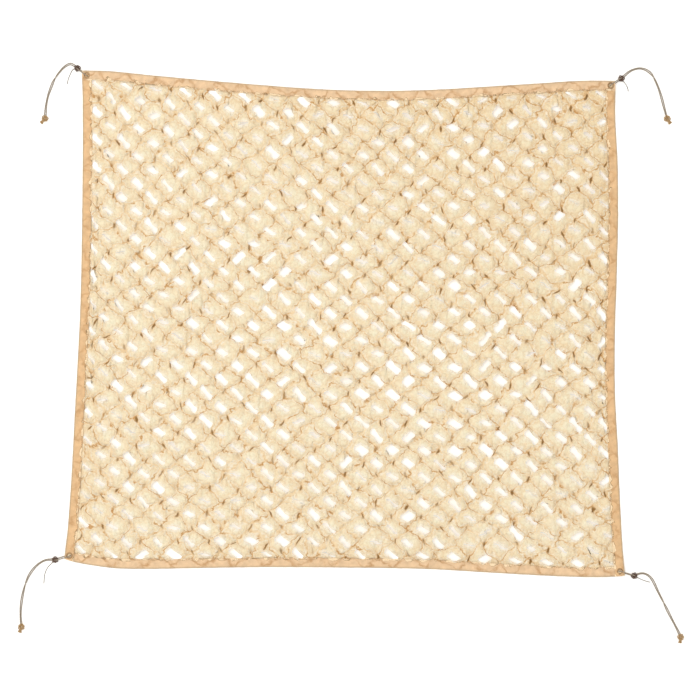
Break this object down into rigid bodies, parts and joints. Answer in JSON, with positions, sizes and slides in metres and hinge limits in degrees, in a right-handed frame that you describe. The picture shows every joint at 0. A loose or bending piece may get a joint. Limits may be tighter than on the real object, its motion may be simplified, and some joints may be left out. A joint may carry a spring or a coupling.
{
  "type": "camouflage netting",
  "caption": "Small camouflage net of slit sand-coloured cloth pulled open into slanted gaps, bound with tape and tied at its corners",
  "frame": {"origin": "on the ground, under the middle of the bounding box of the net with its binding and eyelets", "axes": "+X along the longer side, +Y up the net as it hangs on a wall, +Z out of its upper face"},
  "size_m": [1.5019, 1.3063, 0.0132],
  "materials": {
    "net_cloth": "thin plain-woven polyester, sand colour",
    "binding_tape": "folded woven tape, tan",
    "eyelet_metal": "brown lacquered brass eyelet",
    "tie_cord": "thin braided cord, grey brown",
    "knot_cord": "tight knot of the same cord, dark brown",
    "thin_cord": "frayed thin cord end, light grey brown"
  },
  "bodies": {
    "root": {"net": "net_cloth", "binding_top": "binding_tape", "binding_bottom": "binding_tape", "binding_left": "binding_tape", "binding_right": "binding_tape", "eyelet_top_left": "eyelet_metal", "eyelet_top_right": "eyelet_metal", "eyelet_bottom_left": "eyelet_metal", "eyelet_bottom_right": "eyelet_metal", "tie_top_left_link": "tie_cord", "tie_top_left_knot": "knot_cord", "tie_top_left_strand_a": "tie_cord", "tie_top_left_strand_b": "tie_cord", "tie_top_left_end_knot": "knot_cord", "tie_top_left_free_end": "thin_cord", "tie_top_right_link": "tie_cord", "tie_top_right_knot": "knot_cord", "tie_top_right_strand_a": "tie_cord", "tie_top_right_strand_b": "tie_cord", "tie_top_right_end_knot": "knot_cord", "tie_top_right_free_end": "thin_cord", "tie_bottom_left_link": "tie_cord", "tie_bottom_left_knot": "knot_cord", "tie_bottom_left_strand_a": "tie_cord", "tie_bottom_left_strand_b": "tie_cord", "tie_bottom_left_end_knot": "knot_cord", "tie_bottom_left_free_end": "thin_cord", "tie_bottom_right_link": "tie_cord", "tie_bottom_right_knot": "knot_cord", "tie_bottom_right_strand_a": "tie_cord", "tie_bottom_right_strand_b": "tie_cord", "tie_bottom_right_end_knot": "knot_cord", "tie_bottom_right_free_end": "thin_cord"}
  },
  "joints": []
}
